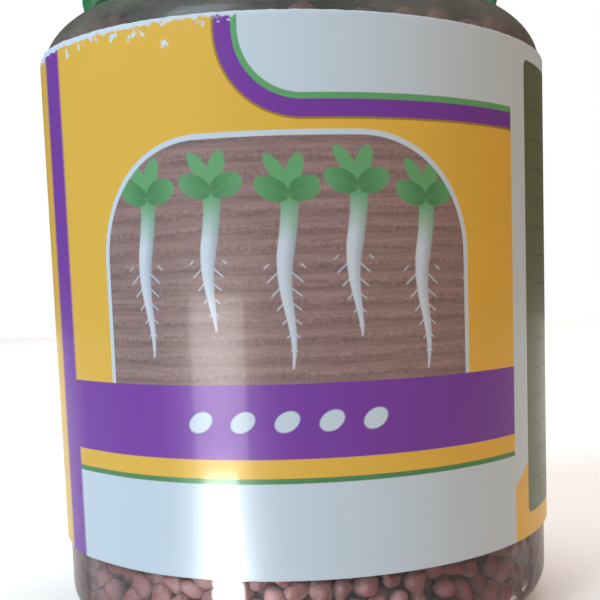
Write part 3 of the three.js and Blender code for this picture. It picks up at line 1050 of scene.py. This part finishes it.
def lamp(name, place, target, width, tall, watts, tint=(1, 1, 1)):
    """Rectangular soft light aimed at a point."""
    light = bpy.data.lights.new(name, "AREA")
    light.shape = "RECTANGLE"
    light.size, light.size_y = width, tall
    light.energy = watts
    light.color = tint
    thing = bpy.data.objects.new(name, light)
    bpy.context.scene.collection.objects.link(thing)
    thing.location = place
    thing.rotation_euler = (Vector(target) - Vector(place)).to_track_quat("-Z", "Y").to_euler()
    return thing


class SEEDJAR_OT_stage(bpy.types.Operator):
    """Set up the floor, the studio light and the camera"""

    bl_idname = "seed_jar.stage"
    bl_label = "Stage"

    def execute(self, context):
        s = sizes("stage_sizes")
        self.floor(s)
        self.light()
        self.camera(s)
        return {"FINISHED"}

    def floor(self, s):
        reach = s.floor_reach
        lines = 9
        side = np.linspace(-reach, reach, lines)
        x, y = np.meshgrid(side, side)
        grid = np.stack([x, y, 0 * x], axis=2)
        mesh = mesh_from("floor", grid.reshape(-1, 3), [grid_faces(lines, lines, False)])
        thing = bpy.data.objects.new("floor", mesh)
        bpy.context.scene.collection.objects.link(thing)
        mesh.materials.append(floor_paint())
        thing.visible_diffuse = False

    def backdrop(self):
        """World that is white to the camera and dim to shiny surfaces.

        To dull surfaces it is soft light, cool from the left and warm from the right.
        """
        graph = Graph(bpy.data.worlds.new("studio"), "ShaderNodeOutputWorld")
        cool, warm, dim, white = (0.42, 0.43, 0.46), (0.46, 0.35, 0.25), (0.11, 0.09, 0.07), (1, 1, 1)
        rays = graph.node("ShaderNodeLightPath").outputs
        sideways = graph.parts(graph.spot())[0]
        soft = graph.paint(cool, warm, graph.ramp(sideways, -1.0, 1.0))
        light = graph.paint(dim, soft, rays["Is Diffuse Ray"])
        light = graph.paint(light, white, rays["Is Camera Ray"])
        sky = graph.filled("ShaderNodeBackground", Color=light)
        graph.feed(graph.output.inputs[0], sky.outputs[0])
        bpy.context.scene.world = graph.owner

    def light(self):
        bpy.context.scene.view_settings.view_transform = "Standard"
        self.backdrop()
        middle = (0, 0, 0.05)
        cool, warm = (0.76, 0.9, 1.0), (1.0, 0.45, 0.15)
        glint_spot, glint_spread = (-0.012, -0.038), math.radians(90)
        lamp("key", (-0.66, -0.65, 0.75), middle, 0.5, 0.5, 9.9, cool)
        back = lamp("back", (0.3, 0.5, 0.8), (0.3, 0.4, 0), 2.0, 0.9, 11)
        back.visible_glossy = False
        back.visible_transmission = False
        lamp("fill", (0.8, -0.6, 0.7), middle, 0.5, 0.5, 1.6, warm)
        glints = (
            ("glint_base", (-0.0237, -0.0537, 0.0048), 0.0095, 0.0055, 0.012),
            ("glint_low", (-0.0237, -0.0537, 0.016), 0.0095, 0.017, 0.009),
            ("glint_high", (-0.0656, -0.1088, 0.031), 0.045, 0.038, 0.029),
        )
        for name, place, width, tall, watts in glints:
            strip = lamp(name, place, (*glint_spot, place[2]), width, tall, watts)
            strip.data.spread = glint_spread
            strip.visible_camera = False
            strip.visible_diffuse = False
            strip.visible_transmission = False

    def camera(self, s):
        data = bpy.data.cameras.new("camera")
        thing = bpy.data.objects.new("camera", data)
        bpy.context.scene.collection.objects.link(thing)
        forward = Vector((
            math.sin(s.yaw) * math.cos(s.pitch),
            math.cos(s.yaw) * math.cos(s.pitch),
            -math.sin(s.pitch),
        ))
        level = Vector((math.cos(s.yaw), -math.sin(s.yaw), 0))
        upright = level.cross(forward)
        right = math.cos(s.roll) * level + math.sin(s.roll) * upright
        up = -math.sin(s.roll) * level + math.cos(s.roll) * upright
        turn = Matrix((right, up, -forward)).transposed()
        thing.matrix_world = Matrix.Translation((0, -s.distance, s.height)) @ turn.to_4x4()
        data.sensor_width = 36
        data.lens = data.sensor_width * s.focal_pixels / s.picture
        data.shift_x = (s.picture / 2 - s.centre_x) / s.picture
        data.shift_y = (s.centre_y - s.picture / 2) / s.picture
        data.clip_start = 0.01
        bpy.context.scene.camera = thing


class SEEDJAR_PT_panel(bpy.types.Panel):
    """Lists the steps that build the jar"""

    bl_idname = "SEEDJAR_PT_panel"
    bl_label = "Seed jar"
    bl_space_type = "VIEW_3D"
    bl_region_type = "UI"
    bl_category = "Seed jar"

    def draw(self, context):
        for step in STEPS:
            self.layout.operator(step.bl_idname)


GROUPS = {
    "jar_sizes": JarSizes,
    "label_sizes": LabelSizes,
    "lid_sizes": LidSizes,
    "seed_sizes": SeedSizes,
    "stage_sizes": StageSizes,
}
STEPS = (SEEDJAR_OT_jar, SEEDJAR_OT_label, SEEDJAR_OT_seeds, SEEDJAR_OT_lid, SEEDJAR_OT_stage)


def register():
    for kind in (*GROUPS.values(), *STEPS, SEEDJAR_PT_panel):
        bpy.utils.register_class(kind)
    for name, group in GROUPS.items():
        setattr(bpy.types.Scene, name, bpy.props.PointerProperty(type=group))


def unregister():
    for name in GROUPS:
        delattr(bpy.types.Scene, name)
    for kind in (SEEDJAR_PT_panel, *reversed(STEPS), *reversed(GROUPS.values())):
        bpy.utils.unregister_class(kind)


def main():
    register()
    for step in STEPS:
        family, verb = step.bl_idname.split(".")
        getattr(getattr(bpy.ops, family), verb)()


if __name__ == "__main__":
    main()
